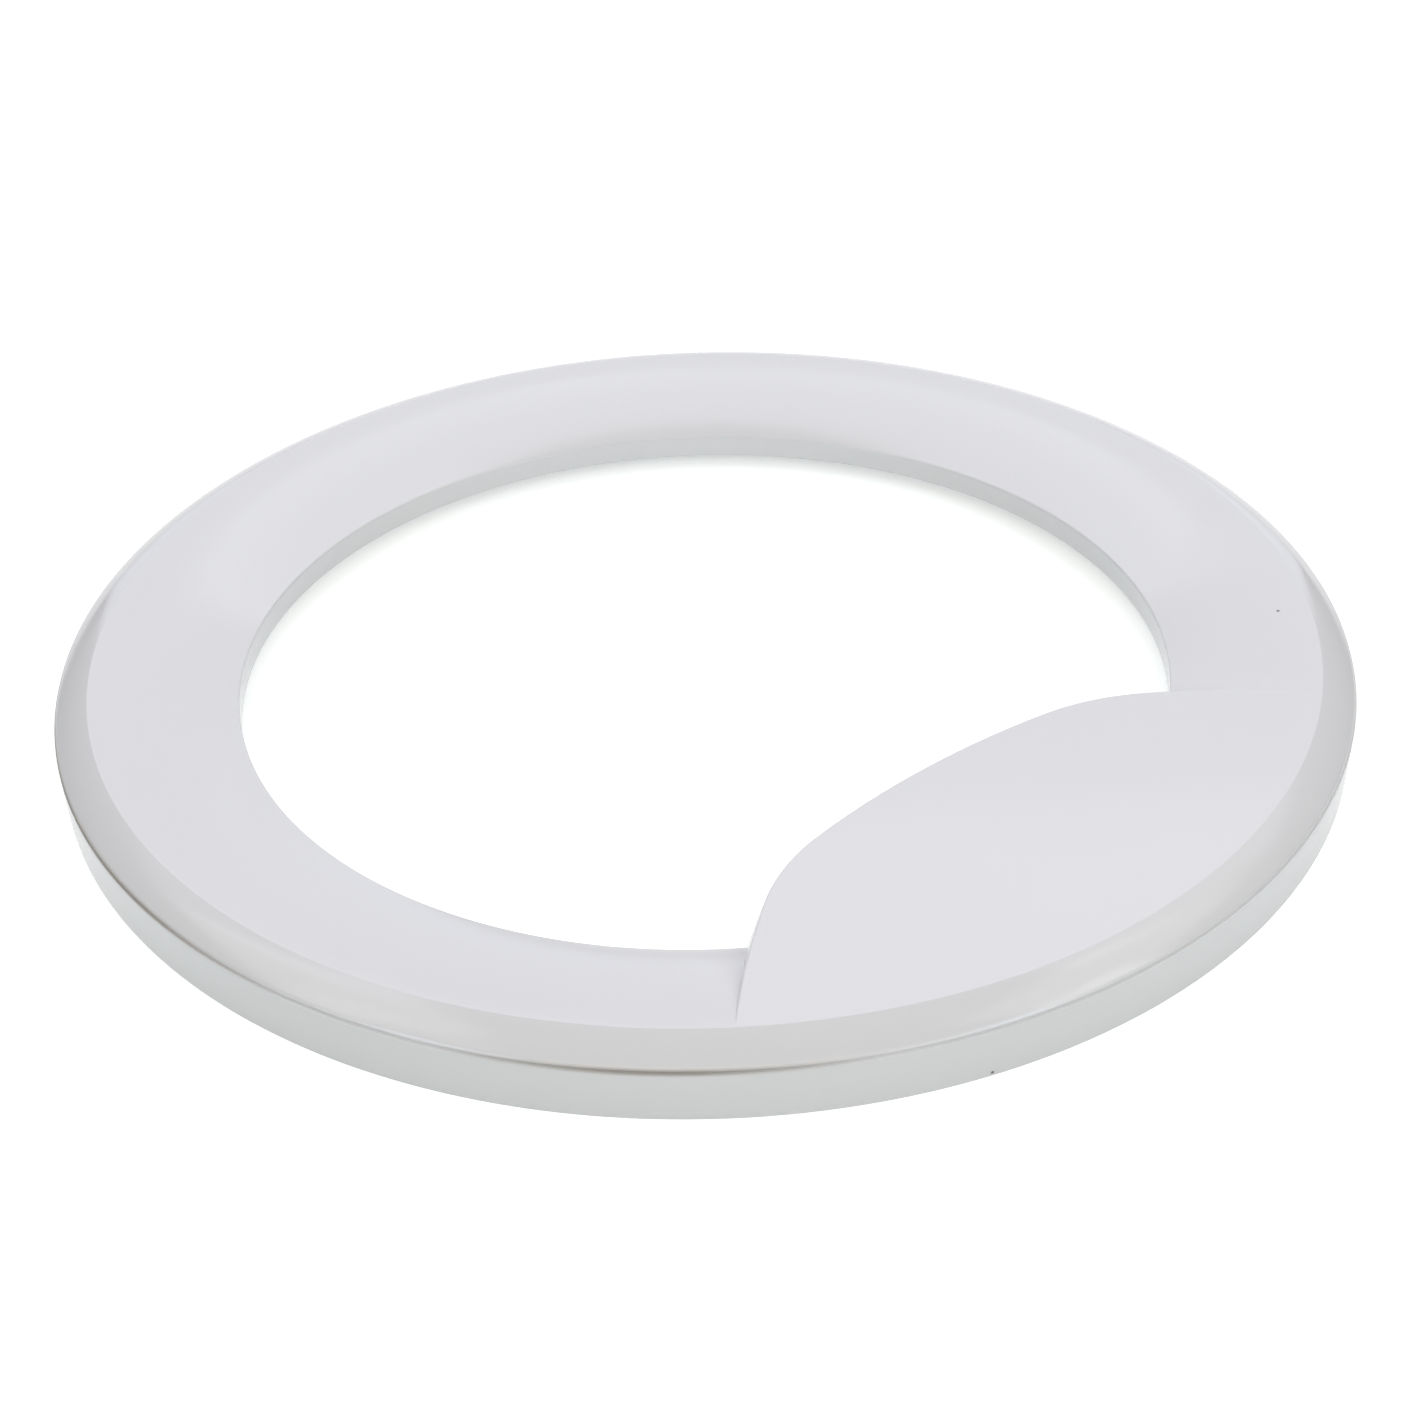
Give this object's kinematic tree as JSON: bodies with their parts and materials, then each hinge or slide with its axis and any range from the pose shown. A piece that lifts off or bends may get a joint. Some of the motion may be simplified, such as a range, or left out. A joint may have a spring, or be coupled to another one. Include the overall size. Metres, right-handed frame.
{
  "type": "washing machine outer door frame",
  "caption": "Round white plastic outer door frame with a dished face, bevelled rim and a raised handle panel that reaches over part of the porthole.",
  "frame": {"origin": "centre of the ring on the plane of its rear rim", "axes": "+Z out of the front face along the ring's axis, +X from the porthole's centre to the handle panel"},
  "size_m": [0.4198, 0.4198, 0.0236],
  "materials": {
    "white_plastic": "glossy moulded white plastic"
  },
  "bodies": {
    "root": {"door_frame": "white_plastic"}
  },
  "joints": []
}
